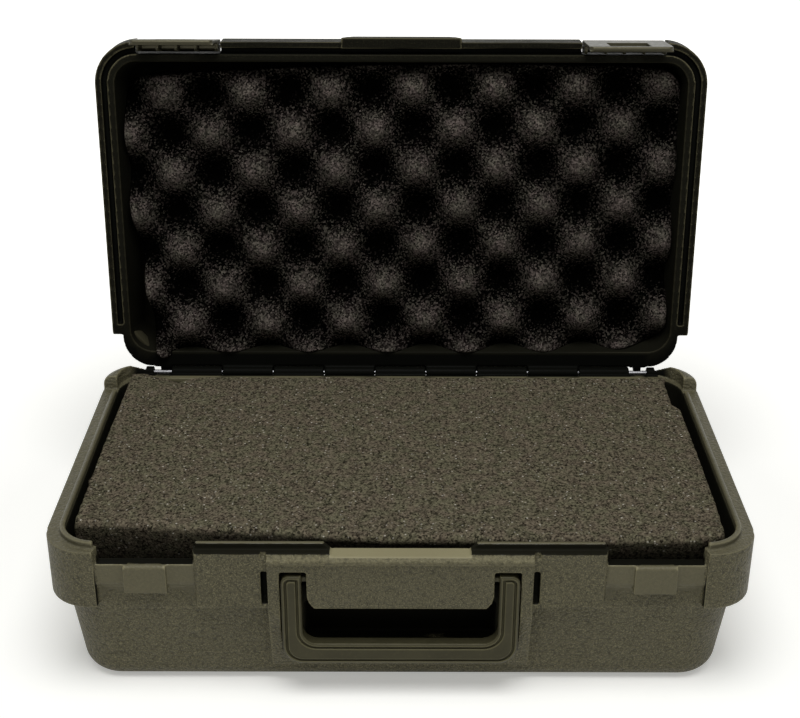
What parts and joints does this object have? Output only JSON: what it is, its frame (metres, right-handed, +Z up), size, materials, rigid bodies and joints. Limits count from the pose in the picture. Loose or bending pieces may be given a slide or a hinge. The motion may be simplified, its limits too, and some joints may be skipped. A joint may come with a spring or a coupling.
{
  "type": "hard case",
  "caption": "Blow-moulded hard case with a hinged lid, two latches, a folding handle, a soft foam block in the base and convoluted foam in the lid.",
  "frame": {"origin": "middle of the underside, on the surface that the case stands on", "axes": "+X to the right along the case, +Y from the handle side to the hinge, +Z up"},
  "size_m": [0.406, 0.2957, 0.3339],
  "materials": {
    "shell_plastic": "black-brown polyethylene with a pebbled grain and smooth bearing faces",
    "latch_plastic": "black plastic, moulded smooth",
    "handle_plastic": "black plastic, moulded smooth with a raised lip",
    "pin_steel": "plain drawn steel",
    "soft_foam": "charcoal open-cell foam"
  },
  "bodies": {
    "base": {"base_shell": "shell_plastic", "hinge_rod": "pin_steel", "base_pad_foam": "soft_foam", "pluck_foam": "soft_foam"},
    "lid": {"lid_shell": "shell_plastic", "lid_foam": "soft_foam", "latch_pin_left": "pin_steel", "latch_pin_right": "pin_steel"},
    "latch_left": {"latch_left": "latch_plastic"},
    "latch_right": {"latch_right": "latch_plastic"},
    "handle": {"handle": "handle_plastic"}
  },
  "joints": [
    {"name": "lid_hinge", "type": "hinge", "parent": "base", "child": "lid", "pos_m": [0, 0.1155, 0.098], "axis": [1, 0, 0], "range_deg": [0, 95]},
    {"name": "latch_left_pivot", "type": "hinge", "parent": "lid", "child": "latch_left", "pos_m": [-0.1442, 0.14309, 0.32155], "axis": [-1, 0, 0], "range_deg": [-7.5, 87.5]},
    {"name": "latch_right_pivot", "type": "hinge", "parent": "lid", "child": "latch_right", "pos_m": [0.1442, 0.14309, 0.32155], "axis": [-1, 0, 0], "range_deg": [-2.5, 92.5]},
    {"name": "handle_swing", "type": "hinge", "parent": "base", "child": "handle", "pos_m": [0, -0.1123, 0.081], "axis": [-1, 0, 0], "range_deg": [0, 95]}
  ]
}
